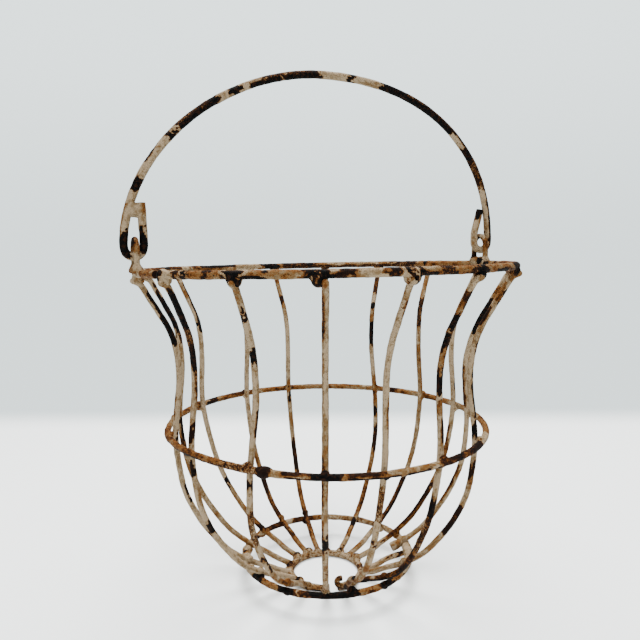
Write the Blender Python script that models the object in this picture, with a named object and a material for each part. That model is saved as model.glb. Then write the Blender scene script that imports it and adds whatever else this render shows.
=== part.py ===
"""A hand-made wire hanging basket: rim, sixteen S-curved ribs, two rings, open hub, and a bail in two ears.

Metres, +Z up. The origin is on the basket's axis, on the surface it stands on. The bail's axis runs along X.
"""

import math

import bmesh
import bpy

MM = 0.001
GAP = 0.3 * MM  # between pieces that touch

# Wire radii
RIM_WIRE = 2.4 * MM
RING_WIRE = 2.15 * MM
RIB_WIRE = 1.9 * MM
EAR_WIRE = 1.9 * MM
BAIL_WIRE = 2.6 * MM

# The basket
RIM_RADIUS = 122 * MM
RIM_HEIGHT = 214 * MM
RIM_SLOPE = 0.033  # the rim stands this much lower towards +Y, for each unit of length
BELLY_HEIGHT = 108.7 * MM
BELLY_RISE = 2.4 * MM  # the belly ring was forced up here, at BELLY_RISE_AT
BELLY_RISE_AT = math.radians(207)
BELLY_RISE_SPREAD = math.radians(32)
RIBS = 16

# The hub: an open ring of wire, a little off the axis, on whose worn underside the basket stands
HUB_WIRE = 2.4 * MM
HUB_RADIUS = 24.6 * MM
HUB_CENTRE = (-2.1 * MM, -1.9 * MM)
HUB_LEVEL = 2.2 * MM
HUB_FROM = math.radians(267.5)
HUB_TO = math.radians(612.5)
HUB_STEPS = 69
HUB_SIDES = 12

# The ears: inverted U eyes standing on the rim at -X and +X
EAR_RADIUS = 122.5 * MM
EAR_HALF_WIDTH = 6.85 * MM
EAR_RISE = 22 * MM  # from the rim's centre line to the top of the eye

# The bail: a flattened arch whose ends turn inwards through the eyes and up again
BAIL_RISE = 123.8 * MM  # from the rim's centre line to the middle of the wire at the crown
BAIL_HALF_SPAN = 129 * MM
BAIL_SQUARENESS = {-1: 1.9, 1: 2.19}  # of the arch at -X and at +X, where 2 is an ellipse
PIVOT_RISE = 10 * MM
HOOK_RADIUS = 5.85 * MM
HOOK_STRAIGHT = 6.5 * MM
HOOK_TIP = {-1: (117.9 * MM, 255.7 * MM), 1: (121.9 * MM, 252.8 * MM)}

RING_POINTS = 72

# A rib's centre line, from just outside the hub to its tip under the rim: radius and height in millimetres
BELLY_RIB_RADIUS = 102
FOOT_POINT = (55.2, 18)
RIB_PROFILE = [
    (36, 8.2),
    (43, 12),
    FOOT_POINT,
    (69.6, 28.2),
    (81.9, 43.2),
    (91, 58),
    (98.4, 77),
    (BELLY_RIB_RADIUS, 104),
    (101.2, 122),
    (98.6, 145),
    (99.4, 163),
    (103.3, 177.5),
    (109.8, 189.6),
    (115.8, 199.8),
    (120.4, 207.4),
    (124.5, 209.6),
]

# The ribs were spaced by eye: how far each stands off its even place, in degrees, at each of LEAN_HEIGHTS
LEAN_HEIGHTS = (20 * MM, 60 * MM, 150 * MM, RIM_HEIGHT)
CUT_LEAN_HEIGHTS = (20 * MM, 60 * MM, 125 * MM, 195 * MM)  # the same for CUT_RIB
RIB_LEAN = [
    (2.5, 1.7, -1, 0),
    (-0.5, -1, -2, 2),
    (-1.5, -2, 0.5, 1),
    (1.5, 1, 0.5, 0),
    (-5, -5.5, -4, -2),
    (-6.5, -7, -5.5, -5),
    (-8, -6, 0.5, -2),
    (-6, -5.5, -1, -5),
    (-1, -1.5, -3, 0),
    (-6, -6.2, -7, 0),
    (-4, -3.6, -0.4, 0.5),
    (-1, -0.8, -0.3, 0),
    (-7, -6.5, -3.5, -2),
    (-5, -8, -4.5, -4),
    (-3, -3.2, -4, 0),
    (9.5, 9, 11.2, -1.6),
]
TIP_HEIGHT = RIB_PROFILE[-1][1] * MM
TILT_FROM = 150 * MM  # above this height the ribs follow the slope of the rim

# Most ribs end against the hub's outer side
FOOT_REACH = 2.3 * MM  # outside the hub's centre line
FOOT_LEVEL = 4.7 * MM

# One rib is cut short inside the base ring, and a length of wire goes on from there to the hub
CUT_RIB = 15
CUT_FOOT = (46.5, 13.7)
FOOT_WIRE = [(54.8, 338.4, 13.1), (43, 337.5, 9.5), (34, 329.5, 6.7), (26.7, 322, 5)]

# One rib stands clear above the base ring, and ends beside the gap in the hub in an upright curl
CURLED_RIB = 12
CURLED_LIFT = 5 * MM
CURLED_LEAD = [(33.8, 268.5, 6), (38, 266.5, 8.6)]
CURL_AT = (30.7, 263.8, 8.05)
CURL_RADIUS = 2.55 * MM
CURL_FROM = -285
CURL_TO = -90
CURL_STEP = 39

CREAM_PAINT = (0.56, 0.45, 0.32, 1)
RUST = (0.34, 0.15, 0.05, 1)
BLACK_PAINT = (0.03, 0.028, 0.026, 1)


def clear_scene():
    for obj in list(bpy.data.objects):
        bpy.data.objects.remove(obj, do_unlink=True)


def new_collection(name):
    collection = bpy.data.collections.new(name)
    bpy.context.scene.collection.children.link(collection)
    return collection


def material(name, colour, roughness, metallic):
    made = bpy.data.materials.new(name)
    made.use_nodes = True
    shader = made.node_tree.nodes["Principled BSDF"]
    shader.inputs["Base Color"].default_value = colour
    shader.inputs["Roughness"].default_value = roughness
    shader.inputs["Metallic"].default_value = metallic
    return made


def mix(a, b, share):
    return tuple(p + (q - p) * share for p, q in zip(a, b))


def wire(name, points, radius, look, closed=False):
    """A round wire through the points, in the basket's collection."""
    curve = bpy.data.curves.new(name, "CURVE")
    curve.dimensions = "3D"
    spline = curve.splines.new("POLY")
    spline.points.add(len(points) - 1)
    for slot, point in zip(spline.points, points):
        slot.co = (*point, 1)
    spline.use_cyclic_u = closed
    curve.bevel_depth = radius
    curve.bevel_resolution = 2
    curve.use_fill_caps = not closed
    obj = bpy.data.objects.new(name, curve)
    curve.materials.append(look)
    basket.objects.link(obj)
    return obj


def smooth_line(points, steps):
    """A Catmull-Rom curve through the points, with this many steps from each to the next."""
    ends = [points[0]] + points + [points[-1]]
    line = []
    for before, start, end, after in zip(ends, ends[1:], ends[2:], ends[3:]):
        for step in range(steps):
            t = step / steps
            point = []
            for a, b, c, d in zip(before, start, end, after):
                bend = (2 * a - 5 * b + 4 * c - d) * t**2 + (3 * b - a - 3 * c + d) * t**3
                point.append(b + 0.5 * ((c - a) * t + bend))
            line.append(tuple(point))
    line.append(points[-1])
    return line


def rim_level(y):
    """The height of the rim's centre line at this Y."""
    return RIM_HEIGHT - RIM_SLOPE * y


def belly_level(azimuth):
    """The height of the belly ring's centre line at this angle round the basket."""
    away = (azimuth - BELLY_RISE_AT) / BELLY_RISE_SPREAD
    return BELLY_HEIGHT + BELLY_RISE * math.exp(-away * away)


def hoop(radius, level):
    """Points round the axis, at the height that level gives for each one's angle and Y."""
    points = []
    for i in range(RING_POINTS):
        azimuth = 2 * math.pi * i / RING_POINTS
        y = radius * math.sin(azimuth)
        points.append((radius * math.cos(azimuth), y, level(azimuth, y)))
    return points


def ease(start, end, t):
    """From start to end, level at both, as t goes from 0 to 1."""
    t = min(max(t, 0), 1)
    return start + (end - start) * t * t * (3 - 2 * t)


def place(radius_mm, degrees, height_mm):
    """A point in metres from a distance off the axis, an angle round it and a height."""
    a = math.radians(degrees)
    return (radius_mm * MM * math.cos(a), radius_mm * MM * math.sin(a), height_mm * MM)


def rib_azimuth(index, height):
    heights = CUT_LEAN_HEIGHTS if index == CUT_RIB else LEAN_HEIGHTS
    lean = RIB_LEAN[index][0]
    steps = zip(heights, heights[1:], RIB_LEAN[index], RIB_LEAN[index][1:])
    for low, high, at_low, at_high in steps:
        if height > low:
            lean = ease(at_low, at_high, (height - low) / (high - low))
    return math.radians(index * 360 / RIBS + lean)


def hub_distance(azimuth):
    """From the axis to the hub's centre line, at this angle round the axis."""
    x, y = HUB_CENTRE
    along = x * math.cos(azimuth) + y * math.sin(azimuth)
    return along + math.sqrt(HUB_RADIUS**2 - x * x - y * y + along * along)


def rib_point(index, r, z):
    """A point of the rib's centre line from its radius and height on an even, level basket."""
    azimuth = rib_azimuth(index, z)
    x, y = r * math.cos(azimuth), r * math.sin(azimuth)
    to_rim = ease(0, 1, (z - TILT_FROM) / (TIP_HEIGHT - TILT_FROM))
    return (x, y, z + to_rim * (rim_level(y) - RIM_HEIGHT))


def curl():
    """Points from the curled rib's end round its upright curl and out along the basket's bottom."""
    x, y, z = place(*CURL_AT)
    azimuth = math.radians(CURL_AT[1])
    points = []
    for degrees in range(CURL_FROM, CURL_TO + 1, CURL_STEP):
        a = math.radians(degrees)
        side = CURL_RADIUS * math.cos(a)
        across = (x - side * math.sin(azimuth), y + side * math.cos(azimuth))
        points.append((*across, z + CURL_RADIUS * math.sin(a)))
    return points + [place(*point) for point in CURLED_LEAD]


def rib_points(index):
    """The rib's centre line from foot to tip."""
    profile = [(r * MM, z * MM) for r, z in RIB_PROFILE]
    if index == CUT_RIB:
        cut = CUT_FOOT[0] * MM, CUT_FOOT[1] * MM
        profile = [cut] + [point for point in profile if point[0] > cut[0]]
    elif index == CURLED_RIB:
        foot = RIB_PROFILE.index(FOOT_POINT)
        profile = profile[foot:]
        profile[0] = (profile[0][0], profile[0][1] + CURLED_LIFT)
        profile[1] = (profile[1][0], profile[1][1] + CURLED_LIFT / 2)
    else:
        profile = [(hub_distance(rib_azimuth(index, 0)) + FOOT_REACH, FOOT_LEVEL)] + profile
    points = [rib_point(index, r, z) for r, z in profile]
    return smooth_line(curl() + points if index == CURLED_RIB else points, 2)


def make_rib(index):
    name = f"rib_{index + 1:02d}"
    look = material(name, mix(CREAM_PAINT, RUST, 0.15 + 0.2 * (index % 3)), 0.6, 0)
    wire(name, rib_points(index), RIB_WIRE, look)


def make_foot_wire():
    look = material("foot_wire", mix(CREAM_PAINT, RUST, 0.5), 0.7, 0)
    wire("foot_wire", smooth_line([place(*point) for point in FOOT_WIRE], 2), RIB_WIRE, look)


def make_rings():
    look = material("top_rim", mix(CREAM_PAINT, RUST, 0.4), 0.6, 0)
    wire("top_rim", hoop(RIM_RADIUS, lambda azimuth, y: rim_level(y)), RIM_WIRE, look, True)

    reach = RIB_WIRE + RING_WIRE + GAP
    look = material("belly_ring", RUST, 0.75, 0)
    belly = hoop(BELLY_RIB_RADIUS * MM + reach, lambda azimuth, y: belly_level(azimuth))
    wire("belly_ring", belly, RING_WIRE, look, True)

    # The base ring lies against the outer, lower side of the ribs, square to their slope at FOOT_POINT.
    foot = RIB_PROFILE.index(FOOT_POINT)
    (r1, z1), (r2, z2) = RIB_PROFILE[foot - 1], RIB_PROFILE[foot + 1]
    slope = math.atan2(z2 - z1, r2 - r1)
    radius = FOOT_POINT[0] * MM + reach * math.sin(slope)
    height = FOOT_POINT[1] * MM - reach * math.cos(slope)
    look = material("base_ring", mix(BLACK_PAINT, RUST, 0.4), 0.7, 0)
    wire("base_ring", hoop(radius, lambda azimuth, y: height), RING_WIRE, look, True)


def make_hub():
    """The section of the wire carried round from one end of the open ring to the other."""
    hub = bmesh.new()
    rings = []
    for i in range(HUB_STEPS + 1):
        turn = HUB_FROM + (HUB_TO - HUB_FROM) * i / HUB_STEPS
        ring = []
        for j in range(HUB_SIDES):
            a = 2 * math.pi * (j + 0.5) / HUB_SIDES
            r = HUB_RADIUS + HUB_WIRE * math.cos(a)
            x, y = HUB_CENTRE[0] + r * math.cos(turn), HUB_CENTRE[1] + r * math.sin(turn)
            ring.append(hub.verts.new((x, y, max(HUB_LEVEL + HUB_WIRE * math.sin(a), 0))))
        rings.append(ring)
    for this, following in zip(rings, rings[1:]):
        for j in range(HUB_SIDES):
            k = (j + 1) % HUB_SIDES
            hub.faces.new((this[j], this[k], following[k], following[j]))
    hub.faces.new(rings[0])
    hub.faces.new(rings[-1])
    bmesh.ops.recalc_face_normals(hub, faces=hub.faces[:])
    mesh = bpy.data.meshes.new("hub_ring")
    hub.to_mesh(mesh)
    hub.free()
    mesh.materials.append(material("hub_ring", CREAM_PAINT, 0.6, 0))
    basket.objects.link(bpy.data.objects.new("hub_ring", mesh))


def make_ear(name, side):
    shoulder = RIM_HEIGHT + EAR_RISE - EAR_WIRE - EAR_HALF_WIDTH
    x = side * EAR_RADIUS
    points = [(x, -EAR_HALF_WIDTH, rim_level(-EAR_HALF_WIDTH) + RIM_WIRE + GAP)]
    arch_steps = 12
    for i in range(arch_steps + 1):
        a = math.pi * i / arch_steps
        points.append((x, -EAR_HALF_WIDTH * math.cos(a), shoulder + EAR_HALF_WIDTH * math.sin(a)))
    points.append((x, EAR_HALF_WIDTH, rim_level(EAR_HALF_WIDTH) + RIM_WIRE + GAP))
    wire(name, points, EAR_WIRE, material(name, mix(CREAM_PAINT, RUST, 0.6), 0.7, 0))


def bail_half(side):
    """The bail's half at -X or +X in the XZ plane, from just past the crown to the hook's tip."""
    shoulder = RIM_HEIGHT + PIVOT_RISE + HOOK_RADIUS
    rise = RIM_HEIGHT + BAIL_RISE - shoulder
    power = 2 / BAIL_SQUARENESS[side]
    points = []
    arch_steps = 18
    for i in range(1, arch_steps + 1):
        a = math.pi / 2 * i / arch_steps
        points.append((BAIL_HALF_SPAN * math.sin(a) ** power, shoulder + rise * abs(math.cos(a)) ** power))
    hook_steps = 8
    centre = BAIL_HALF_SPAN - HOOK_RADIUS
    for i in range(1, hook_steps + 1):
        a = math.pi * i / hook_steps
        points.append((centre + HOOK_RADIUS * math.cos(a), shoulder - HOOK_RADIUS * math.sin(a)))
    points.append((centre - HOOK_RADIUS, shoulder + HOOK_STRAIGHT))
    points.append(HOOK_TIP[side])
    return [(side * x, z) for x, z in points]


def make_bail():
    """The handle hangs from an empty on its axis, through both eyes."""
    axis_height = RIM_HEIGHT + PIVOT_RISE
    axis = bpy.data.objects.new("bail_axis", None)
    axis.location = (0, 0, axis_height)
    axis.empty_display_size = 0.02
    basket.objects.link(axis)
    crown = (0, RIM_HEIGHT + BAIL_RISE)
    outline = bail_half(-1)[::-1] + [crown] + bail_half(1)
    points = [(x, 0, z - axis_height) for x, z in outline]
    look = material("bail_handle", mix(BLACK_PAINT, CREAM_PAINT, 0.3), 0.6, 0)
    bail = wire("bail_handle", points, BAIL_WIRE, look)
    bail.parent = axis


clear_scene()
basket = new_collection("hanging_basket")
make_rings()
for rib in range(RIBS):
    make_rib(rib)
make_foot_wire()
make_hub()
make_ear("ear_left", -1)
make_ear("ear_right", 1)
make_bail()
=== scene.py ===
"""Looks for the wire hanging basket: each wire as an uneven painted rod with its welds, chips and rust."""

import math

import bpy
import numpy as np
from mathutils import Matrix, Vector


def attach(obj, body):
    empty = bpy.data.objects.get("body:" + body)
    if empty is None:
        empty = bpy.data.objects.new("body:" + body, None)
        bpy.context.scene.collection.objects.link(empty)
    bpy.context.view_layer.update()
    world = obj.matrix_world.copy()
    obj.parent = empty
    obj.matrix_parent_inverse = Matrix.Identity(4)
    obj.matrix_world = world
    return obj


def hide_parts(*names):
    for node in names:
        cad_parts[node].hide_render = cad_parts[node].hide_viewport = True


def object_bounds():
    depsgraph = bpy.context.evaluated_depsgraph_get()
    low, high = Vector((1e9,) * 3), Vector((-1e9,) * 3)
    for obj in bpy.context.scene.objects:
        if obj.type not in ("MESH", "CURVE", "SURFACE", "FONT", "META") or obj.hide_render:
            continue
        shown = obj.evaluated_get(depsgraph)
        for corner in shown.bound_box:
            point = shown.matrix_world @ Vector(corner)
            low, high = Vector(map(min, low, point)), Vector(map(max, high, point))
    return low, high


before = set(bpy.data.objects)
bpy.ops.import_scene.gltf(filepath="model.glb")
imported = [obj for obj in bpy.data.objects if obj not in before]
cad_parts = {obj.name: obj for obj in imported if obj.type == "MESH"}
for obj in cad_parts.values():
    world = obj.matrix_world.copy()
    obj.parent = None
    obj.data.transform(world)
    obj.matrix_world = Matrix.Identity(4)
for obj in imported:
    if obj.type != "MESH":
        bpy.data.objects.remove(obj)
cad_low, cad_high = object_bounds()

# The wires are worked out in millimetres, on the CAD's axes, and scaled to metres as their meshes are made.
MM = 0.001
RIM_WIRE = 2.4  # each wire's radius
RING_WIRE = 2.15
RIB_WIRE = 1.9
EAR_WIRE = 1.9
BAIL_WIRE = 2.6
GAP = 0.3

# The basket's centre lines
RIM_RADIUS = 122
RIM_HEIGHT = 214
RIM_SLOPE = 0.033
BELLY_HEIGHT = 108.7
BELLY_RISE = 2.4
BELLY_RISE_AT = 207
BELLY_RISE_SPREAD = 32
RIBS = 16
HUB_WIRE = 2.4
HUB_RADIUS = 24.6
HUB_CENTRE = (-2.1, -1.9)
HUB_LEVEL = 2.2
HUB_FROM = 267.5
HUB_TO = 612.5
EAR_RADIUS = 122.5
EAR_HALF_WIDTH = 6.85
EAR_RISE = 22
EAR_SINK = 0.5  # how far above the rim's centre line an ear's wire starts
BAIL_RISE = 123.8
BAIL_HALF_SPAN = 129
BAIL_SQUARENESS = {-1: 1.9, 1: 2.19}
PIVOT_RISE = 10
HOOK_RADIUS = 5.85
HOOK_STRAIGHT = 6.5
HOOK_TIP = {-1: (117.9, 255.7), 1: (121.9, 252.8)}
BELLY_RIB_RADIUS = 102
FOOT_POINT = (55.2, 18)
RIB_PROFILE = [
    (36, 8.2),
    (43, 12),
    FOOT_POINT,
    (69.6, 28.2),
    (81.9, 43.2),
    (91, 58),
    (98.4, 77),
    (BELLY_RIB_RADIUS, 104),
    (101.2, 122),
    (98.6, 145),
    (99.4, 163),
    (103.3, 177.5),
    (109.8, 189.6),
    (115.8, 199.8),
    (120.4, 207.4),
    (124.5, 209.6),
]
# How far each rib stands off its even place, in degrees, at each of LEAN_HEIGHTS
LEAN_HEIGHTS = (20, 60, 150, RIM_HEIGHT)
CUT_LEAN_HEIGHTS = (20, 60, 125, 195)  # the same for CUT_RIB
RIB_LEAN = [
    (2.5, 1.7, -1, 0),
    (-0.5, -1, -2, 2),
    (-1.5, -2, 0.5, 1),
    (1.5, 1, 0.5, 0),
    (-5, -5.5, -4, -2),
    (-6.5, -7, -5.5, -5),
    (-8, -6, 0.5, -2),
    (-6, -5.5, -1, -5),
    (-1, -1.5, -3, 0),
    (-6, -6.2, -7, 0),
    (-4, -3.6, -0.4, 0.5),
    (-1, -0.8, -0.3, 0),
    (-7, -6.5, -3.5, -2),
    (-5, -8, -4.5, -4),
    (-3, -3.2, -4, 0),
    (9.5, 9, 11.2, -1.6),
]
TILT_FROM = 150
FOOT_REACH = 2.3
FOOT_LEVEL = 4.7
FOOT_HEIGHT = 18  # where the ribs pass the base ring
CUT_RIB = 15
CUT_FOOT = (46.5, 13.7)
FOOT_WIRE = [(54.8, 338.4, 13.1), (43, 337.5, 9.5), (34, 329.5, 6.7), (26.7, 322, 5)]
CURLED_RIB = 12
CURLED_LIFT = 5
CURLED_LEAD = [(33.8, 268.5, 6), (38, 266.5, 8.6)]
CURL_AT = (30.7, 263.8, 8.05)
CURL_RADIUS = 2.55
CURL_FROM = -285
CURL_TO = -90
CURL_STEP = 39

# The wires' surfaces
STEP = 0.8  # between the rings of vertices along a wire
SIDES = 20
CURVE_STEPS = 16  # from each point of a smooth line to the next
RIM_JOINT = (200.5, 557.5)  # the rim is a bent rod whose two ends nearly meet here
CHIP_DEPTH = 0.13

# An open wire's end is closed by four more rings. On a round end they stand at angles round a half ball. On a
# cut end each has a distance beyond the end and a share of the wire's radius, and bare metal shows.
ROUND_END = (0.45, 0.85, 1.2, 1.45)
CUT_END = [(0.14, 0.97), (0.3, 0.86), (0.36, 0.55), (0.3, 0.2)]
BARE_EDGE = 0.4  # how bare the first of a cut end's rings is
BARE_METAL = (0.1, 0.93, 0.3)  # its black, rust and speckle

# Lumps: how deep they are, and how large. The long ones' depth is a share of the wire's radius.
LONG_LUMPS = (0.035, 13)
LUMPS = (0.13, 3.4)
SMALL_LUMPS = (0.06, 1.5)
WELD_LUMPS = (0.22, 2.6)
CREASE = 0.8  # a wire and a weld this near each other in height are filled between
CREASE_FILL = 0.2
WELD_PUSH = 1.2  # how far a weld's balls are moved from the point where two wires meet

# The length of a degree of each ring, for marks placed by angle
RIM_DEGREE = 2.13
BELLY_DEGREE = 1.856
BASE_DEGREE = 1.003
HUB_DEGREE = 0.43

# The knobs of weld on the rim's front: each one's size and angle, by the index of its rib
KNOB_SIZES = {10: 4.0, 11: 4.1, 12: 4.3, 13: 3.6, 14: 4.0}
KNOB_TURNS = {10: 225.5, 11: 246, 12: 268.5, 13: 290, 14: 315}
TIP_HEIGHT = 208  # where the ribs reach the rim

# Other lumps of weld. On a ring each has an angle, and EAR_WELDS are placed by their angle from an ear.
KNUCKLE = 201.2
EAR_WELDS = ((-3.1, 3.1), (-1.2, 3.4), (1.2, 3.4), (3.1, 3.1))
BELLY_JOINT = 229
BLOB_RIB = 6
BASE_LUMPS = [
    (325, 3.0), (331, 3.3), (337, 3.6), (343, 3.4), (349, 3.5), (355, 3.0),
    (156, 3.6), (162, 3.1), (168, 3.8), (174, 3.2), (183, 3.0), (300.5, 3.0),
]
HUB_LUMPS = (5, 102, 127, 172, 206)
HUB_LUMP_SIZE = 3.3
HOOK_BRIDGE = [((-121.9, 0, 250.2), 3.0), ((-121.5, 0, 253), 2.8)]  # from the left hook's tip to its arm

# Directions that marks can face, both the marks of wear and the few of painted highlight and shade among
# them: R and L along the basket's front, F and B towards and away from its front, T up and U down. A mark can
# also face O, out from the axis.
FRONT = Vector((-0.383, -0.924, 0))
RIGHT = Vector((0.924, -0.383, 0))
UP = Vector((0, 0, 1))
FACING = {"R": RIGHT, "L": -RIGHT, "F": FRONT, "B": -FRONT, "T": UP, "U": -UP}
SIDE_SPREADS = {"L": -0.12, "R": -0.12, "T": 0.05, "U": 0.05}
OTHER_SPREAD = 0.3

# What a mark puts on the wire: bare black, rust from cream at 0 to dark brown at 1, and how speckled it is
KINDS = {
    "cream": (0, 0.04, 0.1),
    "tan": (0, 0.24, 0.3),
    "orange": (0.08, 0.48, 0.6),
    "pink": (0.04, 0.36, 0.4),
    "brown": (0.16, 0.72, 0.7),
    "dark": (0.3, 0.92, 0.6),
    "black": (0.8, 0.5, 0.6),
    "flecks": (0.44, 0.42, 1),
    "grey": (0.42, 0.16, 1),
    "specks": (0.2, 0.14, 0.9),
}

# The marks, laid over each other in turn: a kind, where it starts and ends, and the sides that it faces if it
# isn't all round. They are placed by height on the ribs, by angle on the rings, by length from the top on the
# bail, and by length from one foot on the ears.
RIB_MARKS = {
    1: [
        ("cream", 98, 206), ("black", 122, 130, "R"), ("brown", 79, 94, "L"), ("orange", 60, 79),
        ("brown", 14, 50), ("dark", 25, 50, "L"),
    ],
    2: [
        ("flecks", 162, 185), ("tan", 60, 140), ("orange", 128, 152), ("brown", 15, 50),
        ("black", 20, 46, "R"),
    ],
    3: [
        ("brown", 185, 205), ("black", 146, 166), ("black", 88, 94), ("dark", 61, 80),
        ("orange", 17, 50), ("brown", 24, 34),
    ],
    4: [("brown", 5, 90), ("orange", 120, 200)],
    5: [
        ("orange", 190, 200), ("dark", 181, 186), ("tan", 82, 99), ("dark", 45, 67), ("orange", 5, 45),
        ("brown", 10, 22),
    ],
    6: [("cream", 80, 200), ("orange", 5, 72), ("brown", 12, 30), ("dark", 35, 45)],
    7: [
        ("black", 167, 200, "R"), ("cream", 60, 165), ("black", 47, 54), ("tan", 5, 40),
        ("orange", 14, 31), ("dark", 18, 23),
    ],
    8: [
        ("cream", 115, 206), ("black", 199, 203, "R"), ("black", 171, 196), ("flecks", 163, 171, "R"),
        ("black", 94, 112, "R"), ("brown", 86, 96), ("orange", 70, 86), ("tan", 5, 60),
    ],
    9: [
        ("cream", 5, 205), ("black", 168, 187, "F"), ("black", 186, 204, "R"),
        ("brown", 122, 134, "L"), ("black", 107, 112, "R"), ("black", 67, 78, "R"),
        ("flecks", 28, 46, "U"),
    ],
    10: [
        ("cream", 5, 205), ("black", 183, 207, "F"), ("flecks", 172, 184), ("black", 160, 174, "F"),
        ("flecks", 151, 160, "R"), ("brown", 140, 150, "R"), ("dark", 114, 126, "F"),
        ("black", 95, 102), ("black", 54, 63), ("tan", 70, 92, "R"),
    ],
    11: [
        ("cream", 50, 205), ("black", 192, 198, "F"), ("tan", 145, 160, "R"), ("black", 167, 175, "F"),
        ("dark", 128, 143, "R"), ("black", 98, 102, "F"), ("grey", 60, 84, "F"), ("dark", 47, 51),
        ("dark", 38, 42, "R"), ("orange", 18, 30, "R"),
    ],
    12: [
        # The tan all down its left side is painted shade. The brown on that side is rust stain, darkened
        # further by painted shade.
        ("cream", 5, 205), ("tan", 45, 205, "L"), ("brown", 48, 130, "L"), ("brown", 186, 206, "L"),
        ("tan", 84, 140), ("brown", 92, 118, "L"), ("tan", 5, 60, "L"), ("specks", 14, 56, "F"),
        ("black", 62, 73, "F"),
    ],
    13: [
        ("cream", 50, 196), ("brown", 196, 204, "R"), ("orange", 128, 147, "R"),
        ("grey", 79, 102, "F"), ("dark", 64, 67), ("orange", 12, 30, "U"), ("grey", 4, 11),
        ("dark", 4, 12, "U"),
    ],
    14: [
        ("cream", 91, 208), ("brown", 198.5, 207), ("black", 201, 206, "R"), ("orange", 192, 199),
        ("black", 183.5, 192.5), ("orange", 181, 184), ("dark", 172, 181), ("black", 172, 181, "L"),
        ("orange", 159.5, 172), ("black", 146, 159.5), ("orange", 133, 140), ("dark", 119, 131, "R"),
        ("black", 76, 86, "F"), ("flecks", 50, 76, "F"), ("brown", 5, 46), ("black", 5, 40, "U"),
        ("cream", 11.5, 14.5, "T"),
    ],
    15: [
        ("cream", 96, 208), ("orange", 197, 205), ("black", 202, 205.5, "R"),
        ("black", 191.5, 198, "R"), ("dark", 180, 190, "L"), ("tan", 171, 180),
        ("flecks", 163, 171, "R"), ("black", 150, 156, "R"), ("black", 124, 147, "R"),
        ("black", 112, 121.5), ("dark", 85, 94), ("orange", 77, 85), ("dark", 47, 67), ("tan", 5, 44),
    ],
    16: [
        ("cream", 70, 208), ("orange", 193, 203), ("black", 171, 192.5), ("brown", 115, 146, "L"),
        ("brown", 45, 70, "L"), ("tan", 14, 45),
    ],
}

RIM_MARKS = [
    ("orange", 174, 195), ("cream", 180, 188, "F"), ("cream", 202, 210), ("black", 210, 212),
    ("orange", 212, 222), ("dark", 207, 209, "F"), ("dark", 217, 219, "F"), ("cream", 222, 229, "T"),
    ("black", 228, 233, "U"), ("tan", 233, 241.5), ("brown", 242, 243.5), ("black", 248, 250.5, "U"),
    ("cream", 243.5, 250, "T"), ("dark", 250.5, 254), ("grey", 254, 261.5, "T"),
    ("cream", 255, 261.5, "F"), ("dark", 262.5, 264), ("cream", 264, 270), ("black", 270.5, 274, "U"),
    ("tan", 270, 276, "T"), ("flecks", 276, 288), ("orange", 279, 285, "F"), ("pink", 293, 309),
    ("orange", 315, 345), ("black", 105, 120, "T"), ("cream", 94, 104), ("black", 87, 93),
    ("flecks", 30, 85), ("tan", 40, 70, "T"), ("brown", 122, 150, "T"), ("orange", 150, 170, "T"),
    ("cream", 126, 131, "T"), ("black", 138, 141, "T"), ("cream", 156, 160, "T"),
    ("cream", 60, 66, "T"), ("black", 72, 76, "T"), ("black", 278, 282, "U"), ("black", 296, 303, "U"),
    ("flecks", 303, 309, "U"), ("dark", 325, 333, "U"), ("black", 223.6, 227.4, "F"),
    # The thin tan mark at 245.6 to 246.1 degrees and the cream one at 267.8 to 268.6 sit on the front of the
    # black knobs there. They are painted highlights.
    ("black", 243.4, 248.5, "F"), ("tan", 245.6, 246.1, "F"), ("black", 266.4, 270.2, "F"),
    ("cream", 267.8, 268.6, "F"), ("black", 288.2, 291.8, "F"), ("black", 309.5, 323.5, "F"),
]

BELLY_MARKS = [
    ("orange", 148, 216), ("tan", 156, 166, "T"), ("black", 180, 206, "U"), ("flecks", 206, 218, "U"),
    ("grey", 217, 227), ("dark", 227.5, 230.5), ("cream", 231, 235), ("brown", 235, 243, "T"),
    ("black", 235, 243, "U"), ("black", 243, 252), ("brown", 254, 270, "T"), ("black", 254, 270, "U"),
    ("tan", 264, 276, "T"), ("black", 272, 284, "U"), ("cream", 280, 282, "F"), ("brown", 284, 300),
    ("black", 292, 294, "F"), ("dark", 300, 309), ("cream", 309, 320), ("orange", 320, 340),
    ("tan", 340, 356), ("black", 84, 86), ("dark", 122, 127), ("orange", 136, 143),
]

BASE_MARKS = [
    ("orange", 72, 145), ("brown", 80, 96), ("cream", 97, 103), ("brown", 106, 121),
    ("cream", 126, 131, "T"), ("dark", 134, 140), ("black", 84, 87), ("cream", 10, 70),
    ("specks", 14, 66), ("black", 42, 44), ("cream", 325, 360), ("cream", 165, 192),
    ("black", 192, 200), ("orange", 200, 213), ("black", 215, 225), ("brown", 225, 234),
    ("cream", 229, 231), ("brown", 234, 262, "T"), ("black", 236, 264, "F"), ("black", 246, 251),
    ("black", 262, 268), ("tan", 268, 282), ("brown", 273, 276), ("black", 283, 293),
    ("orange", 293, 303), ("cream", 304, 325, "T"),
]

HUB_MARKS = [
    ("cream", 0, 360), ("specks", 0, 360), ("black", 99, 105, "TO"), ("black", 124, 130, "TO"),
    ("black", 169, 175, "TO"), ("black", 203, 209, "TO"), ("grey", 1, 9, "TO"), ("grey", 60, 98, "TO"),
    ("flecks", 150, 168, "T"), ("black", 190, 196, "F"), ("dark", 216, 222, "T"),
    ("black", 228, 240, "U"), ("black", 292, 298, "F"), ("brown", 312, 322, "F"),
    ("flecks", 330, 345, "T"), ("black", 40, 46, "TO"), ("flecks", 236, 262, "T"),
    ("black", 252, 257, "TO"), ("black", 274, 279, "TO"),
]

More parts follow.
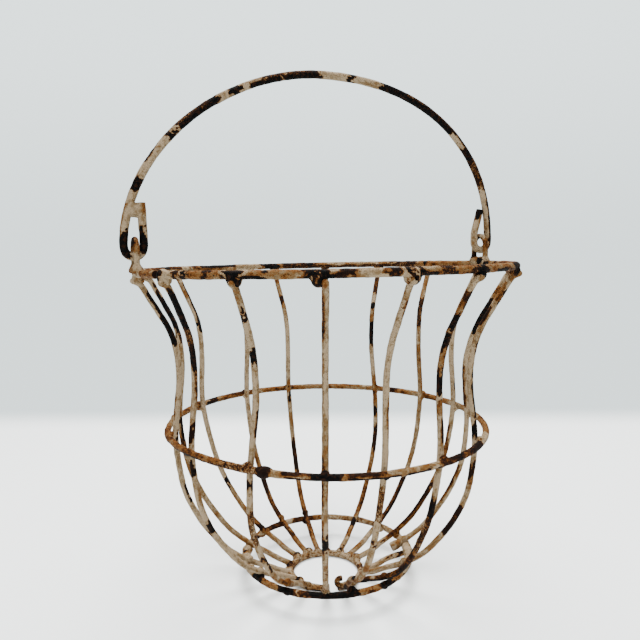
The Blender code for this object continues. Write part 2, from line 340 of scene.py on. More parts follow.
BAIL_MARKS = [
    ("cream", -192, -112), ("black", -151, -144, "F"), ("black", -133, -120, "L"),
    ("black", -113, -107), ("black", -106, -74), ("flecks", -106, -78, "T"),
    ("cream", -108, -106, "F"), ("cream", -73, -64), ("black", -66, -56, "F"), ("cream", -57, -51),
    ("black", -51, -4), ("tan", -51, -46, "T"), ("flecks", -46, -8, "T"), ("tan", -29, -28),
    ("cream", -4, 39), ("black", 16, 20, "F"), ("black", 39, 131), ("flecks", 60, 110, "T"),
    ("cream", 104, 117, "U"), ("cream", 128, 176), ("black", 120, 133, "F"), ("black", 127, 196, "R"),
    ("flecks", 128, 150, "F"), ("orange", -176, -160, "L"), ("black", -192, -176),
    ("cream", -200, -190), ("black", -216, -198), ("cream", -213, -209, "R"), ("cream", -224, -214),
    ("orange", -242, -222, "R"), ("black", 172, 184, "R"), ("brown", 184, 200, "R"),
    ("cream", 196, 224), ("brown", 222, 244, "T"), ("orange", 216, 226, "R"), ("dark", 226, 244, "L"),
]

EAR_MARKS = {
    "ear_left": [("cream", 0, 14), ("orange", 12, 40), ("dark", 18, 34, "L"), ("black", 3, 12, "B")],
    "ear_right": [
        ("cream", 0, 60), ("orange", 5, 18), ("black", 16, 34, "U"), ("orange", 22, 28, "T"),
        ("dark", 36, 48),
    ],
}


def grain(points, size, seed):
    """Smooth noise from -1 to 1 at each point, with features of this size."""
    p = points / size + 1000
    cell = np.floor(p).astype(np.int64)
    t = p - cell
    t = t * t * (3 - 2 * t)
    total = np.zeros(points.shape[:-1])
    for corner in range(8):
        at = np.array([(corner >> k) & 1 for k in range(3)])
        weight = np.prod(np.where(at == 1, t, 1 - t), axis=-1)
        x, y, z = np.moveaxis(cell + at, -1, 0)
        n = (x * 73856093 ^ y * 19349663 ^ z * 83492791 ^ seed * 9176213) & 0xFFFFFFFF
        n = ((n ^ (n >> 13)) * 1274126177) & 0xFFFFFFFF
        n = ((n ^ (n >> 15)) * 40503) & 0xFFFFFFFF
        total += weight * ((n ^ (n >> 16)) & 0xFFFF) / 0xFFFF
    return 2 * total - 1


def lumps(kind, points, seed):
    depth, size = kind
    return depth * grain(points, size, seed)


def smoothstep(t):
    t = np.clip(t, 0, 1)
    return t * t * (3 - 2 * t)


def ease(start, end, t):
    return start + (end - start) * float(smoothstep(t))


def place(radius, degrees, height):
    a = math.radians(degrees)
    return (radius * math.cos(a), radius * math.sin(a), height)


def smooth_line(points):
    """A Catmull-Rom curve through the points."""
    ends = [points[0]] + points + [points[-1]]
    line = []
    for quad in zip(ends, ends[1:], ends[2:], ends[3:]):
        a, b, c, d = (np.array(q, float) for q in quad)
        for step in range(CURVE_STEPS):
            t = step / CURVE_STEPS
            bend = (2 * a - 5 * b + 4 * c - d) * t**2 + (3 * b - a - 3 * c + d) * t**3
            line.append(b + 0.5 * ((c - a) * t + bend))
    line.append(np.array(points[-1], float))
    return np.array(line)


def lengths_along(line):
    return np.concatenate([[0], np.cumsum(np.linalg.norm(np.diff(line, axis=0), axis=1))])


def angles_round(line):
    return np.degrees(np.arctan2(line[:, 1], line[:, 0])) % 360


def even_line(line, soften=0):
    """The same line with points every STEP, its corners rounded over about this length."""
    along = lengths_along(line)
    places = np.linspace(0, along[-1], max(4, round(along[-1] / STEP)))
    even = np.stack([np.interp(places, along, line[:, k]) for k in range(3)], 1)
    reach = int(3 * soften / STEP)
    if reach:
        weights = np.exp(-0.5 * (np.arange(-reach, reach + 1) * STEP / soften) ** 2)
        weights /= weights.sum()
        before = 2 * even[:1] - even[reach:0:-1]
        after = 2 * even[-1:] - even[-2:-reach - 2:-1]
        padded = np.concatenate([before, even, after])
        even = np.stack([np.convolve(padded[:, k], weights, "valid") for k in range(3)], 1)
    return even


def rim_level(y):
    return RIM_HEIGHT - RIM_SLOPE * y


def belly_level(degrees):
    away = (degrees % 360 - BELLY_RISE_AT) / BELLY_RISE_SPREAD
    return BELLY_HEIGHT + BELLY_RISE * math.exp(-away * away)


def rib_azimuth(index, height):
    heights = CUT_LEAN_HEIGHTS if index == CUT_RIB else LEAN_HEIGHTS
    lean = RIB_LEAN[index][0]
    steps = zip(heights, heights[1:], RIB_LEAN[index], RIB_LEAN[index][1:])
    for low, high, at_low, at_high in steps:
        if height > low:
            lean = ease(at_low, at_high, (height - low) / (high - low))
    return index * 360 / RIBS + lean


def hub_distance(degrees):
    x, y = HUB_CENTRE
    a = math.radians(degrees)
    along = x * math.cos(a) + y * math.sin(a)
    return along + math.sqrt(HUB_RADIUS**2 - x * x - y * y + along * along)


def rib_point(index, r, z):
    x, y, _ = place(r, rib_azimuth(index, z), z)
    to_rim = ease(0, 1, (z - TILT_FROM) / (RIB_PROFILE[-1][1] - TILT_FROM))
    return (x, y, z + to_rim * (rim_level(y) - RIM_HEIGHT))


def curl():
    """The curled rib's end: round an upright curl and out along the basket's bottom."""
    x, y, z = place(*CURL_AT)
    a = math.radians(CURL_AT[1])
    points = []
    for degrees in range(CURL_FROM, CURL_TO + 1, CURL_STEP):
        turn = math.radians(degrees)
        side = CURL_RADIUS * math.cos(turn)
        points.append((x - side * math.sin(a), y + side * math.cos(a), z + CURL_RADIUS * math.sin(turn)))
    return points + [place(*point) for point in CURLED_LEAD]


def rib_line(index):
    profile = list(RIB_PROFILE)
    if index == CUT_RIB:
        profile = [CUT_FOOT] + [point for point in profile if point[0] > CUT_FOOT[0]]
    elif index == CURLED_RIB:
        profile = profile[RIB_PROFILE.index(FOOT_POINT):]
        profile[0] = (profile[0][0], profile[0][1] + CURLED_LIFT)
        profile[1] = (profile[1][0], profile[1][1] + CURLED_LIFT / 2)
    else:
        reach = hub_distance(rib_azimuth(index, 0)) + FOOT_REACH
        profile = [(reach, FOOT_LEVEL)] + profile
    points = [rib_point(index, r, z) for r, z in profile]
    return smooth_line(curl() + points if index == CURLED_RIB else points)


def hoop(radius, level, start=0, end=360):
    """Points round the axis at the height that level gives for each angle and Y."""
    steps = round((end - start) * math.radians(radius) / STEP)
    turns = [start + (end - start) * i / steps for i in range(steps + (end - start < 360))]
    return np.array([place(radius, a, level(a, radius * math.sin(math.radians(a)))) for a in turns])


def base_ring_place():
    """The base ring's radius and height, against the outer, lower side of the ribs."""
    foot = RIB_PROFILE.index(FOOT_POINT)
    (r1, z1), (r2, z2) = RIB_PROFILE[foot - 1], RIB_PROFILE[foot + 1]
    slope = math.atan2(z2 - z1, r2 - r1)
    reach = RIB_WIRE + RING_WIRE + GAP
    return FOOT_POINT[0] + reach * math.sin(slope), FOOT_POINT[1] - reach * math.cos(slope)


def ear_line(side):
    shoulder = RIM_HEIGHT + EAR_RISE - EAR_WIRE - EAR_HALF_WIDTH
    x = side * EAR_RADIUS
    points = [(x, -EAR_HALF_WIDTH, rim_level(-EAR_HALF_WIDTH) + EAR_SINK)]
    for i in range(33):
        a = math.pi * i / 32
        points.append((x, -EAR_HALF_WIDTH * math.cos(a), shoulder + EAR_HALF_WIDTH * math.sin(a)))
    points.append((x, EAR_HALF_WIDTH, rim_level(EAR_HALF_WIDTH) + EAR_SINK))
    return np.array(points)


def bail_half(side):
    """Half the bail from beside its top: the arch, then the hook round to its tip."""
    shoulder = RIM_HEIGHT + PIVOT_RISE + HOOK_RADIUS
    rise = RIM_HEIGHT + BAIL_RISE - shoulder
    power = 2 / BAIL_SQUARENESS[side]
    points = []
    for i in range(1, 121):
        a = math.pi / 2 * i / 120
        points.append((BAIL_HALF_SPAN * math.sin(a) ** power, shoulder + rise * abs(math.cos(a)) ** power))
    centre = BAIL_HALF_SPAN - HOOK_RADIUS
    for i in range(1, 25):
        a = math.pi * i / 24
        points.append((centre + HOOK_RADIUS * math.cos(a), shoulder - HOOK_RADIUS * math.sin(a)))
    points.append((centre - HOOK_RADIUS, shoulder + HOOK_STRAIGHT))
    points.append(HOOK_TIP[side])
    return [(side * x, 0, z) for x, z in points]


def carried_frames(tangents, first):
    """Two directions across the wire at each point, carried along it without twist."""
    across = []
    u = Vector(first)
    for t in tangents:
        t = Vector(t)
        u = (u - t * u.dot(t)).normalized()
        across.append(u[:])
    u = np.array(across)
    return u, np.cross(tangents, u)


def closing_rings(point, outward, style, radius):
    """The rings that close a wire's end, from the wire out: centres, shares of its radius, and bareness."""
    rings = CUT_END
    if style == "round":
        rings = [(radius * math.sin(a), math.cos(a)) for a in ROUND_END]
    centres = [point + beyond * outward for beyond, _ in rings]
    bare = [1.0 if style == "cut" else 0.0] * len(rings)
    bare[0] *= BARE_EDGE
    return np.array(centres), np.array([share for _, share in rings]), np.array(bare)


def with_ends(line, tangents, ends, radius):
    """The line with its closing rings, each ring's share of the wire's radius, and how bare its metal is."""
    first = closing_rings(line[0], -tangents[0], ends[0], radius)
    last = closing_rings(line[-1], tangents[-1], ends[1], radius)
    middle = (line, np.ones(len(line)), np.zeros(len(line)))
    return [np.concatenate([f[::-1], m, l]) for f, m, l in zip(first, middle, last)]


def repeat_ends(rows):
    """The rows with the first and last repeated for the closing rings."""
    count = len(CUT_END)
    return np.concatenate([np.repeat(rows[:1], count, 0), rows, np.repeat(rows[-1:], count, 0)])


class Tube:
    """Rings of vertices round a wire: a row for each point of its line, and SIDES vertices in a row."""

    def __init__(self, line, radius, first, closed, ends):
        tangents = np.roll(line, -1, 0) - np.roll(line, 1, 0) if closed else np.gradient(line, axis=0)
        tangents /= np.linalg.norm(tangents, axis=1, keepdims=True)
        u, v = carried_frames(tangents, first)
        self.share = np.ones(len(line))
        self.bare = np.zeros(len(line))
        if not closed:
            line, self.share, self.bare = with_ends(line, tangents, ends, radius)
            u, v = repeat_ends(u), repeat_ends(v)
        self.line = line
        self.radius = radius
        self.closed = closed
        self.turns = 2 * np.pi * np.arange(SIDES) / SIDES
        self.normals = np.cos(self.turns)[:, None] * u[:, None] + np.sin(self.turns)[:, None] * v[:, None]
        self.centres = np.repeat(line[:, None], SIDES, 1)
        self.even = self.centres + self.normals * radius
        self.thick = np.full(self.even.shape[:2], float(radius))

    def surface(self):
        return self.centres + self.normals * self.thick[..., None]

    def add_lumps(self, amount, seed):
        share, size = LONG_LUMPS
        self.thick = self.radius * (1 + share * amount * grain(self.centres, size, seed))
        bumps = lumps(LUMPS, self.even, seed + 7) + lumps(SMALL_LUMPS, self.even, seed + 8)
        self.thick = self.thick + amount * bumps

    def add_weld(self, ball, size, seed):
        """Grows the wire out to a ball of weld, with a soft crease where they meet."""
        offset = self.centres - np.array(ball)
        near = (np.abs(offset).max(-1) < size + 3).any(1)
        offset = offset[near]
        across = (offset * self.normals[near]).sum(-1)
        inside = across * across - (offset * offset).sum(-1) + size * size
        reach = np.where(inside > 0, -across + np.sqrt(np.maximum(inside, 0)), 0)
        reach = reach + lumps(WELD_LUMPS, self.even[near], seed + 9) * (reach > 0)
        crease = np.maximum(CREASE - np.abs(reach - self.thick[near]), 0) / CREASE
        self.thick[near] = np.maximum(reach, self.thick[near]) + crease * crease * CREASE_FILL

    def streaks(self, seed):
        """Each vertex's place on a straightened, shortened wire, where noise is drawn out along the wire."""
        along = lengths_along(self.line)[:, None] * 0.3 + seed * 7.3
        x, y = np.cos(self.turns) * self.radius, np.sin(self.turns) * self.radius
        return np.stack(np.broadcast_arrays(x, y, along), -1)

    def close_up(self, fields):
        """Sinks the chips and draws the ends in, and returns the mesh's vertices, faces and fields."""
        chipped = smoothstep((fields[..., 0] - 0.4) / 0.3)
        self.thick = (self.thick - CHIP_DEPTH * chipped * (1 - self.bare[:, None])) * self.share[:, None]
        points = self.surface().reshape(-1, 3)
        fields = fields.reshape(-1, 3)
        if not self.closed:
            poles = [points[:SIDES].mean(0)[None], points[-SIDES:].mean(0)[None]]
            points = np.concatenate([points, *poles])
            fields = np.concatenate([fields, fields[:1], fields[-1:]])
        return points, self.faces(), fields

    def faces(self):
        rows = len(self.line)
        ring = np.arange(SIDES)
        after = (ring + 1) % SIDES
        quads = []
        for i in range(rows if self.closed else rows - 1):
            here, there = i * SIDES, (i + 1) % rows * SIDES
            quads.append(np.stack([here + ring, here + after, there + after, there + ring], 1))
        faces = np.concatenate(quads).tolist()
        if not self.closed:
            last = (rows - 1) * SIDES
            first_pole = rows * SIDES
            faces += [(first_pole, int(k), int(j)) for j, k in zip(ring, after)]
            faces += [(first_pole + 1, int(last + j), int(last + k)) for j, k in zip(ring, after)]
        return faces


def worn(points, black_share, rust, seed):
    """Wear with no marks: chips down to black on this share of the surface, about this much rust."""
    chips = 0.6 * grain(points, 9, seed) + 0.4 * grain(points, 3.5, seed + 1)
    black = smoothstep((chips - 0.5 + black_share) / 0.16)
    level = rust + 0.3 * grain(points, 14, seed + 2) + 0.22 * grain(points, 4, seed + 3)
    speckle = 0.3 + 0.3 * grain(points, 11, seed + 4)
    return np.stack([black, np.clip(level, 0, 1), np.clip(speckle, 0, 1)], -1)


def add_marks(fields, marks, coordinate, unit, wrap, points, streaks, normals):
    """Lays the marks over the fields, with ragged edges. unit is the length of one step of the coordinate."""
    ragged = 3.8 * grain(streaks, 1.5, 31) + 1.7 * grain(points, 1.3, 32) + 1.4 * grain(points, 3.4, 34)
    turned = 0.35 * grain(streaks, 1.6, 33)
    outward = points * (1, 1, 0)
    outward /= np.linalg.norm(outward, axis=-1, keepdims=True) + 1e-9
    for kind, start, end, *sides in marks:
        away = coordinate - (start + end) / 2
        if wrap:
            away = (away + 180) % 360 - 180
        reach = (end - start) / 2 * unit - np.abs(away * unit + ragged)
        weight = smoothstep(reach + 0.5)
        for side in "".join(sides):
            facing = outward if side == "O" else np.array(FACING[side])
            spread = SIDE_SPREADS.get(side, OTHER_SPREAD)
            weight = weight * smoothstep(((normals * facing).sum(-1) + spread + turned) / 0.4)
        fields += (np.array(KINDS[kind]) - fields) * weight[..., None]
    fields[..., 1] += 0.2 * grain(streaks, 1.9, 35) + 0.12 * grain(streaks, 0.8, 36)


def make_wire(name, node, line, radius, look, marks, coordinate, unit=1, closed=False, first=(0, 0, 1),
              ends=("cut", "cut"), swells=(), black_share=0.12, rust=0.2, body="basket",
              lumpiness=1.0):
    """A painted wire along the line, in place of the CAD node. Swells are (centre, radius) balls of weld."""
    seed = sum(ord(letter) * (i + 3) for i, letter in enumerate(name))
    tube = Tube(line, radius, first, closed, ends)
    tube.add_lumps(lumpiness, seed)
    for ball, size in swells:
        tube.add_weld(ball, size, seed)
    surface = tube.surface()
    along = coordinate if closed else repeat_ends(coordinate)
    fields = worn(surface, black_share, rust, seed)
    by_angle = unit != 1  # only the rings' marks are, and they have a unit of their own
    add_marks(fields, marks, along[:, None], unit, by_angle, surface, tube.streaks(seed), tube.normals)
    fields = fields + (np.array(BARE_METAL) - fields) * tube.bare[:, None, None]
    points, faces, fields = tube.close_up(fields)
    points = np.clip(points * MM, np.array(cad_low), np.array(cad_high))
    mesh = bpy.data.meshes.new(name)
    mesh.from_pydata(points.tolist(), [], faces)
    mesh.update()
    mesh.polygons.foreach_set("use_smooth", np.ones(len(mesh.polygons), bool))
    paint = mesh.attributes.new("paint", "FLOAT_VECTOR", "POINT")
    paint.data.foreach_set("vector", fields.astype(np.float32).ravel())
    mesh.materials.append(look)
    piece = bpy.data.objects.new(name, mesh)
    bpy.context.scene.collection.objects.link(piece)
    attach(piece, body)
    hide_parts(node)


def weld(centre, towards, size, seed, count=3):
    """A lumpy blob of weld: balls round this centre, pushed this way."""
    random = np.random.default_rng(seed)
    centre, towards = np.array(centre, float), np.array(towards, float)
    towards = towards / (np.linalg.norm(towards) + 1e-9)
    balls = [(centre + towards * WELD_PUSH, size)]
    for _ in range(count - 1):
        shift = random.normal(0, 1, 3)
        shift = shift / np.linalg.norm(shift) * size * 0.45
        balls.append((centre + towards * WELD_PUSH + shift, size * random.uniform(0.62, 0.85)))
    return balls


def ring_welds(radius, level, height, size, seed):
    """Small welds on a ring where each rib crosses it."""
    balls = []
    for index in range(RIBS):
        degrees = rib_azimuth(index, height)
        centre = np.array(place(radius, degrees, level(degrees)))
        inward = -np.array(place(1, degrees, 0))
        lift = 1.1 if (index * 7 + seed) % 3 else -1.1
        varied = size + 0.25 * ((index * 5 + seed) % 3 - 1)
        balls += weld(centre + (0, 0, lift), inward, varied, seed * 40 + index)
    return balls


class Tree:
    """A material's nodes, made and linked by short calls."""

    def __init__(self, name):
        self.material = bpy.data.materials.new(name)
        self.material.use_nodes = True
        self.nodes = self.material.node_tree.nodes
        self.links = self.material.node_tree.links
        self.shader = self.nodes["Principled BSDF"]

    def put(self, socket, value):
        if isinstance(value, bpy.types.NodeSocket):
            self.links.new(value, socket)
        else:
            socket.default_value = value

    def node(self, kind, settings=None, **inputs):
        made = self.nodes.new(kind)
        for key, value in (settings or {}).items():
            setattr(made, key, value)
        for key, value in inputs.items():
            self.put(made.inputs[key.replace("_", " ")], value)
        return made

    def math(self, operation, *values):
        made = self.nodes.new("ShaderNodeMath")
        made.operation = operation
        for socket, value in zip(made.inputs, values):
            self.put(socket, value)
        return made.outputs[0]

    def noise(self, vector, scale, detail=2.0):
        made = self.node("ShaderNodeTexNoise", Vector=vector, Scale=scale, Detail=detail, Roughness=0.55)
        return made.outputs["Fac"]

    def varied(self, noise, amount):
        """The noise as plus or minus this amount."""
        return self.math("MULTIPLY", self.math("SUBTRACT", noise, 0.5), amount)

    def total(self, *values):
        result = values[0]
        for value in values[1:]:
            result = self.math("ADD", result, value)
        return result

    def band(self, value, low, high):
        """0 below low, 1 above high, smooth between."""
        made = self.node("ShaderNodeMapRange", {"interpolation_type": "SMOOTHSTEP"}, Value=value)
        made.inputs["From Min"].default_value = low
        made.inputs["From Max"].default_value = high
        return made.outputs[0]

    def mix(self, share, a, b):
        made = self.node("ShaderNodeMix", {"data_type": "RGBA"})
        self.put(made.inputs[0], share)
        self.put(made.inputs[6], a)
        self.put(made.inputs[7], b)
        return made.outputs[2]

    def ramp(self, value, stops):
        made = self.node("ShaderNodeValToRGB", Fac=value)
        made.color_ramp.elements.remove(made.color_ramp.elements[1])
        for i, (at, colour) in enumerate(stops):
            element = made.color_ramp.elements[0] if i == 0 else made.color_ramp.elements.new(at)
            element.position = at
            element.color = (*colour, 1)
        return made.outputs[0]


# The paint's colour from clean cream through stains and orange rust to dark rust
PAINT_RAMP = [
    (0.0, (0.235, 0.174, 0.107)),
    (0.12, (0.168, 0.118, 0.066)),
    (0.28, (0.118, 0.071, 0.030)),
    (0.42, (0.118, 0.051, 0.0125)),
    (0.56, (0.088, 0.029, 0.0048)),
    (0.74, (0.024, 0.0078, 0.0025)),
    (1.0, (0.005, 0.0022, 0.0015)),
]
GRIME = (0.012, 0.007, 0.004, 1)  # in the paint's pits
OLD_BLACK = (0.0006, 0.0006, 0.0006, 1)  # the paint under the cream, bare in the chips
DUSTY_BLACK = (0.006, 0.0056, 0.005, 1)
CHIP_RUST = (0.012, 0.0045, 0.002, 1)
BUMP_DEPTH = 0.00035


def small_chips(tree, where, fine, speckle):
    """Small scattered chips, more of them where the paint is speckled."""
    spots = tree.noise(where, 820.0, 1.0)
    small = tree.math("MAXIMUM", tree.band(fine, 0.645, 0.68), tree.band(spots, 0.66, 0.69))
    small = tree.math("MULTIPLY", small, tree.math("ADD", speckle, 0.3))
    return tree.math("MINIMUM", small, 1.0)


def add_finish(tree, chip, level, rust, middle, fine, pits):
    """The gloss of the paint and the matt of the rust, with a relief of sunk chips and pits."""
    matt = tree.math("MULTIPLY", tree.band(level, 0.2, 0.7), 0.26)
    roughness = tree.total(matt, 0.5, tree.math("MULTIPLY", fine, 0.1))
    roughness = tree.math("SUBTRACT", roughness, tree.math("MULTIPLY", chip, 0.06))
    tree.links.new(roughness, tree.shader.inputs["Roughness"])
    tree.shader.inputs["Specular IOR Level"].default_value = 0.04
    pitted = tree.math("MULTIPLY", pits, tree.math("MULTIPLY", rust, 0.4))
    relief = tree.total(tree.math("MULTIPLY", chip, -0.55), tree.math("MULTIPLY", middle, 0.7))
    relief = tree.total(relief, tree.math("MULTIPLY", fine, 0.4), pitted)
    bump = tree.node("ShaderNodeBump", Height=relief, Strength=0.75, Distance=BUMP_DEPTH)
    tree.links.new(bump.outputs[0], tree.shader.inputs["Normal"])


def wire_paint(name, warmth):
    """Old cream paint, chipped to black and stained by rust, as the mesh's paint attribute says."""
    tree = Tree(name)
    where = tree.node("ShaderNodeTexCoord").outputs["Object"]
    paint = tree.node("ShaderNodeAttribute", {"attribute_name": "paint"}).outputs["Vector"]
    black, rust, speckle = tree.node("ShaderNodeSeparateXYZ", Vector=paint).outputs
    broad = tree.noise(where, 130.0)
    middle = tree.noise(where, 480.0, 3.0)
    fine = tree.noise(where, 1500.0)
    pits = tree.noise(where, 3100.0)

    # Chips, large where the marks are black and small and scattered where they are speckled
    sharpness = tree.math("MULTIPLY_ADD", speckle, 0.9, 0.5)
    chip_level = tree.total(tree.varied(middle, 0.75), tree.varied(fine, sharpness), black)
    chip = tree.band(chip_level, 0.46, 0.55)
    chip = tree.math("MAXIMUM", chip, small_chips(tree, where, fine, speckle))

    # Stain and rust, with a halo of rust round the chips
    stain = tree.total(tree.varied(middle, 0.8), tree.varied(broad, 0.5), tree.varied(fine, 0.5))
    halo = tree.math("MULTIPLY", tree.band(chip_level, 0.16, 0.46), 0.42)
    level = tree.total(rust, stain, warmth, halo)
    colour = tree.ramp(level, PAINT_RAMP)
    clean = tree.math("MULTIPLY_ADD", tree.band(pits, 0.35, 0.62), 0.28, 0.76)
    colour = tree.mix(clean, tree.mix(0.5, colour, GRIME), colour)

    dark = tree.mix(tree.band(fine, 0.52, 0.72), OLD_BLACK, DUSTY_BLACK)
    rusted = tree.math("MULTIPLY", tree.band(level, 0.55, 1.0), tree.band(middle, 0.52, 0.6))
    colour = tree.mix(chip, colour, tree.mix(rusted, dark, CHIP_RUST))
    tree.links.new(colour, tree.shader.inputs["Base Color"])
    add_finish(tree, chip, level, rust, middle, fine, pits)
    return tree.material


cream = wire_paint("old_cream_paint", 0.0)
rusty = wire_paint("rusty_cream_paint", 0.05)
blackened = wire_paint("worn_black_paint", 0.0)


def make_rim():
    """The rim, with a knob of weld over each rib's tip, the ears' feet, and a knuckle where its ends meet."""
    line = hoop(RIM_RADIUS, lambda a, y: rim_level(y), *RIM_JOINT)
    swells = []
    for index in range(RIBS):
        degrees = KNOB_TURNS.get(index, rib_azimuth(index, TIP_HEIGHT))
        size = KNOB_SIZES.get(index, 3.3 + 0.25 * (index % 3))
        x, y, _ = place(RIM_RADIUS - 0.5, degrees, 0)
        swells += weld((x, y, rim_level(y) - 1.6), (0, 0, -1), size, 300 + index)
    for ear in (0, 180):
        for turn, size in EAR_WELDS:
            x, y, _ = place(RIM_RADIUS, ear + turn, 0)
            swells.append(((x, y, rim_level(y) + 2.0), size))
    x, y, _ = place(RIM_RADIUS, KNUCKLE, 0)
    swells += [((x, y, rim_level(y)), 3.3), ((x, y, rim_level(y) - 2.2), 3.2)]
    make_wire("rim_wire", "top_rim", line, RIM_WIRE, rusty, RIM_MARKS, angles_round(line), unit=RIM_DEGREE,
              ends=("round", "cut"), swells=swells, rust=0.3, lumpiness=1.3)


def make_belly_ring():
    """The belly ring, with the lumps of its joint and one large blob at a back rib."""
    radius = BELLY_RIB_RADIUS + RIB_WIRE + RING_WIRE + GAP
    line = hoop(radius, lambda a, y: belly_level(a))
    swells = ring_welds(radius, belly_level, BELLY_HEIGHT, 2.5, 3)
    joint = np.array(place(radius, BELLY_JOINT, belly_level(BELLY_JOINT)))
    swells += [(joint, 3.5), (joint + (1.2, -1.0, 0.3), 3.2), (joint + (-1.4, 1.2, -0.2), 3.0)]
    blob = rib_azimuth(BLOB_RIB, BELLY_HEIGHT)
    swells.append((place(radius, blob, belly_level(blob)), 3.6))
    make_wire("belly_wire", "belly_ring", line, RING_WIRE, rusty, BELLY_MARKS, angles_round(line),
              unit=BELLY_DEGREE, closed=True, swells=swells, black_share=0.14, rust=0.42,
              lumpiness=1.3)


def make_base_ring():
    """The base ring, with extra lumps of weld where the cut rib and the back ribs meet it."""
    radius, height = base_ring_place()
    line = hoop(radius, lambda a, y: height)
    swells = ring_welds(radius, lambda a: height, FOOT_HEIGHT, 2.7, 5)
    for degrees, size in BASE_LUMPS:
        swells.append((np.array(place(radius - 0.7, degrees, height + 0.5)), size))
    make_wire("base_wire", "base_ring", line, RING_WIRE, rusty, BASE_MARKS, angles_round(line),
              unit=BASE_DEGREE, closed=True, swells=swells, black_share=0.18, rust=0.4,
              lumpiness=1.4)


def make_hub():
    """The hub, with the weld of each rib's foot on its outer top side."""
    line = []
    steps = round((HUB_TO - HUB_FROM) * math.radians(HUB_RADIUS) / STEP)
    for i in range(steps + 1):
        x, y, z = place(HUB_RADIUS, HUB_FROM + (HUB_TO - HUB_FROM) * i / steps, HUB_LEVEL)
        line.append((x + HUB_CENTRE[0], y + HUB_CENTRE[1], z))
    line = np.array(line)
    swells = []
    for index in range(RIBS):
        if index not in (CUT_RIB, CURLED_RIB):
            degrees = rib_azimuth(index, 0)
            centre = place(hub_distance(degrees) + 0.5, degrees, HUB_LEVEL + 0.9)
            swells += weld(centre, place(1, degrees, 0.4), 2.5 + 0.2 * (index % 3), 700 + index)
    for degrees in HUB_LUMPS:
        swells.append((place(hub_distance(degrees) + 1.4, degrees, HUB_LEVEL + 1.9), HUB_LUMP_SIZE))
    make_wire("hub_wire", "hub_ring", line, HUB_WIRE, cream, HUB_MARKS, angles_round(line), unit=HUB_DEGREE,
              swells=swells, black_share=0.1, rust=0.12, lumpiness=1.6)


def make_rib(index):
    """A rib, with a blob of weld where it crosses each ring, and a lumpy end if it is the cut one."""
    line = even_line(rib_line(index))
    swells = []
    random = np.random.default_rng(50 + index)
    if index == CUT_RIB:
        swells += [(line[0], 2.9), (line[2], 3.2), (line[5], 3.3), (line[9], 3.0)]
    for height in (BELLY_HEIGHT, FOOT_HEIGHT):
        if index == CURLED_RIB and height == FOOT_HEIGHT:
            continue
        near = line[np.argmin(np.abs(line[:, 2] - height))]
        outward = near * (1, 1, 0) / np.linalg.norm(near[:2])
        lift = 1.6 if random.random() < 0.5 else -1.6
        swells += weld(near + (0, 0, lift), outward, random.uniform(2.1, 2.6), 900 + index, 2)
    node = f"rib_{index + 1:02d}"
    sideways = place(1, rib_azimuth(index, 0) + 90, 0)
    make_wire(f"{node}_wire", node, line, RIB_WIRE, cream, RIB_MARKS[index + 1], line[:, 2],
              first=UP if index == CURLED_RIB else sideways, ends=("cut", "round"), swells=swells,
              black_share=0.1, rust=0.16 + 0.05 * (index % 3))


def make_foot_wire():
    """The wire that goes on from the cut rib to the hub."""
    line = even_line(smooth_line([place(*point) for point in FOOT_WIRE]))
    marks = [("tan", 4.5, 13.5), ("dark", 10.5, 14), ("brown", 8, 10, "U")]
    make_wire("foot_wire_rod", "foot_wire", line, RIB_WIRE, cream, marks, line[:, 2])


def make_ear(name, side):
    """An ear, flaring into weld where it stands on the rim."""
    line = even_line(ear_line(side))
    swells = []
    for end in (line[0], line[-1]):
        swells += [(end + (0, 0, 1.0), 3.5), (end + (0, 0, 3.0), 2.7)]
    make_wire(f"{name}_wire", name, line, EAR_WIRE, cream, EAR_MARKS[name], lengths_along(line),
              first=(side, 0, 0), swells=swells, rust=0.4)


def make_bail():
    """The bail, with the weld that closes its left hook."""
    outline = bail_half(-1)[::-1] + [(0, 0, RIM_HEIGHT + BAIL_RISE)] + bail_half(1)
    line = even_line(np.array(outline), soften=1.0)
    along = lengths_along(line)
    along -= along[np.argmax(line[:, 2])]
    make_wire("bail_wire", "bail_handle", line, BAIL_WIRE, blackened, BAIL_MARKS, along, first=(0, 1, 0),
              swells=HOOK_BRIDGE, black_share=0.3, rust=0.1, body="bail", lumpiness=0.8)


make_rim()
make_belly_ring()
make_base_ring()
make_hub()
for rib in range(RIBS):
    make_rib(rib)
make_foot_wire()
make_ear("ear_left", -1)
make_ear("ear_right", 1)
make_bail()

# The floor and the room, in metres. The floor is pale near the basket, and turns as light as the room from a
# little way behind it and from further off all round.
FLOOR = (0.84, 0.875, 0.875)
FLOOR_SIZE = 6.0
FLOOR_ENDS = (0.34, 0.44)
FLOOR_FADES = (0.5, 0.95)
WALL = (0.86, 0.97, 0.98)
WALL_LOW = 1.78
WALL_HIGH = 2.3
ROOM = (1, 0.985, 0.96)
ROOM_LOW = 0.35
ROOM_HIGH = 1.5


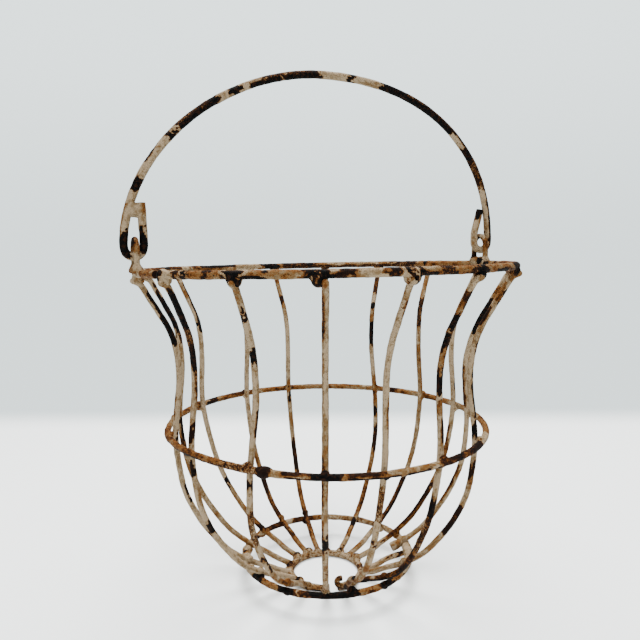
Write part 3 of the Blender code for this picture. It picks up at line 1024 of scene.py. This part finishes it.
def make_floor():
    mesh = bpy.data.meshes.new("floor")
    corners = [(x * FLOOR_SIZE / 2, y * FLOOR_SIZE / 2, 0) for x, y in ((-1, -1), (1, -1), (1, 1), (-1, 1))]
    mesh.from_pydata(corners, [], [(0, 1, 2, 3)])
    ground = bpy.data.objects.new("floor", mesh)
    bpy.context.scene.collection.objects.link(ground)
    tree = Tree("floor")
    where = tree.node("ShaderNodeTexCoord").outputs["Object"]
    behind = tree.node("ShaderNodeVectorMath", {"operation": "DOT_PRODUCT"}, Vector=where)
    behind.inputs[1].default_value = tuple(-FRONT)
    away = tree.node("ShaderNodeVectorMath", {"operation": "LENGTH"}, Vector=where)
    far = tree.math(
        "MAXIMUM",
        tree.band(behind.outputs["Value"], *FLOOR_ENDS),
        tree.band(away.outputs["Value"], *FLOOR_FADES),
    )
    tree.shader.inputs["Base Color"].default_value = (*FLOOR, 1)
    tree.shader.inputs["Roughness"].default_value = 0.9
    glow = tree.node("ShaderNodeEmission", Color=(*WALL, 1), Strength=WALL_LOW)
    blend = tree.node("ShaderNodeMixShader", Fac=far)
    tree.links.new(tree.shader.outputs[0], blend.inputs[1])
    tree.links.new(glow.outputs[0], blend.inputs[2])
    tree.links.new(blend.outputs[0], tree.nodes["Material Output"].inputs["Surface"])
    mesh.materials.append(tree.material)


def make_studio():
    """The room: a pale backdrop to look at, and a light that falls mostly from above."""
    world = bpy.data.worlds.new("studio")
    world.use_nodes = True
    nodes, links = world.node_tree.nodes, world.node_tree.links
    split = nodes.new("ShaderNodeSeparateXYZ")
    links.new(nodes.new("ShaderNodeTexCoord").outputs["Generated"], split.inputs[0])

    def strength(low, high, from_z, to_z):
        made = nodes.new("ShaderNodeMapRange")
        made.interpolation_type = "SMOOTHSTEP"
        links.new(split.outputs[2], made.inputs["Value"])
        for name, value in (("From Min", from_z), ("From Max", to_z), ("To Min", low), ("To Max", high)):
            made.inputs[name].default_value = value
        return made.outputs[0]

    seen = nodes["Background"]
    seen.inputs[0].default_value = (*WALL, 1)
    links.new(strength(WALL_LOW, WALL_HIGH, -0.05, 0.32), seen.inputs[1])
    lit = nodes.new("ShaderNodeBackground")
    lit.inputs[0].default_value = (*ROOM, 1)
    links.new(strength(ROOM_LOW, ROOM_HIGH, -0.1, 0.9), lit.inputs[1])
    both = nodes.new("ShaderNodeMixShader")
    links.new(nodes.new("ShaderNodeLightPath").outputs["Is Camera Ray"], both.inputs[0])
    links.new(lit.outputs[0], both.inputs[1])
    links.new(seen.outputs[0], both.inputs[2])
    links.new(both.outputs[0], nodes["World Output"].inputs["Surface"])
    bpy.context.scene.world = world


def area_light(name, place_at, target, size, power):
    lamp = bpy.data.lights.new(name, "AREA")
    lamp.shape = "DISK"
    lamp.size = size
    lamp.energy = power
    made = bpy.data.objects.new(name, lamp)
    made.location = place_at
    made.rotation_euler = (Vector(target) - Vector(place_at)).to_track_quat("-Z", "Y").to_euler()
    bpy.context.scene.collection.objects.link(made)


CAMERA_AT = (-0.16913, -0.40831, 0.23708)
HEADING = math.radians(68.005)
PITCH = math.radians(7.463)
ROLL = math.radians(-0.449)
LENS = 37.232


def make_camera():
    ahead = Vector((math.cos(HEADING), math.sin(HEADING), 0))
    level_right = Vector((math.sin(HEADING), -math.cos(HEADING), 0))
    upward = math.sin(PITCH) * ahead + math.cos(PITCH) * UP
    forward = math.cos(PITCH) * ahead - math.sin(PITCH) * UP
    right = math.cos(ROLL) * level_right + math.sin(ROLL) * upward
    up = math.cos(ROLL) * upward - math.sin(ROLL) * level_right
    data = bpy.data.cameras.new("camera")
    data.lens = LENS
    data.sensor_width = 36
    data.clip_start = 0.01
    camera = bpy.data.objects.new("camera", data)
    turned = Matrix((right, up, -forward)).transposed().to_4x4()
    turned.translation = Vector(CAMERA_AT)
    camera.matrix_world = turned
    bpy.context.scene.collection.objects.link(camera)
    bpy.context.scene.camera = camera


make_floor()
make_studio()
area_light("overhead", (0.16, 0.4, 1.45), target=(0, 0, 0.1), size=1.1, power=56)
area_light("front", (-0.45, -1.0, 1.2), target=(0, 0, 0.15), size=0.9, power=21)
make_camera()

bpy.context.view_layer.update()
